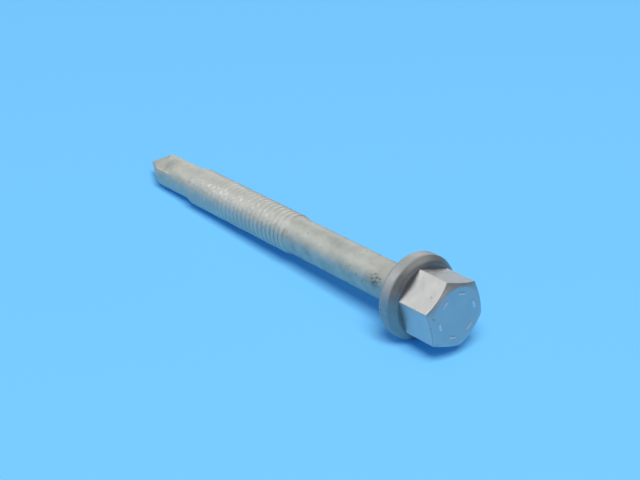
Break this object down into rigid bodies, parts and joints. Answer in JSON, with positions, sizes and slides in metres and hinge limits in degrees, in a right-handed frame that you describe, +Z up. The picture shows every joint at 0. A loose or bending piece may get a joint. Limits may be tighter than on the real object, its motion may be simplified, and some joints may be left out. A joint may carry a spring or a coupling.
{
  "type": "hex flange head self-drilling screw",
  "caption": "Hex flange head self-drilling screw: tall hexagon on a round flange, plain shank, fine thread and a fluted drill point.",
  "frame": {"origin": "centre of the flange's bearing face, on the screw's axis", "axes": "+X along the axis from the bearing face to the top of the head, so the point lies towards -X; +Z is up when the screw lies on its side"},
  "size_m": [0.0652, 0.011, 0.011],
  "materials": {
    "head_coating": "matte zinc-flake coating, pale grey",
    "flange_coating": "matte zinc-flake coating, pale grey",
    "shank_coating": "matte zinc-flake coating, uneven, slightly green-grey",
    "thread_root_coating": "matte zinc-flake coating, thicker and darker between the crests",
    "thread_coating": "matte zinc-flake coating, lighter on the crests",
    "point_coating": "matte zinc-flake coating, slightly darker"
  },
  "bodies": {
    "root": {"hex_head": "head_coating", "flange": "flange_coating", "plain_shank": "shank_coating", "thread_core": "thread_root_coating", "thread_ridge": "thread_coating", "drill_point": "point_coating"}
  },
  "joints": []
}
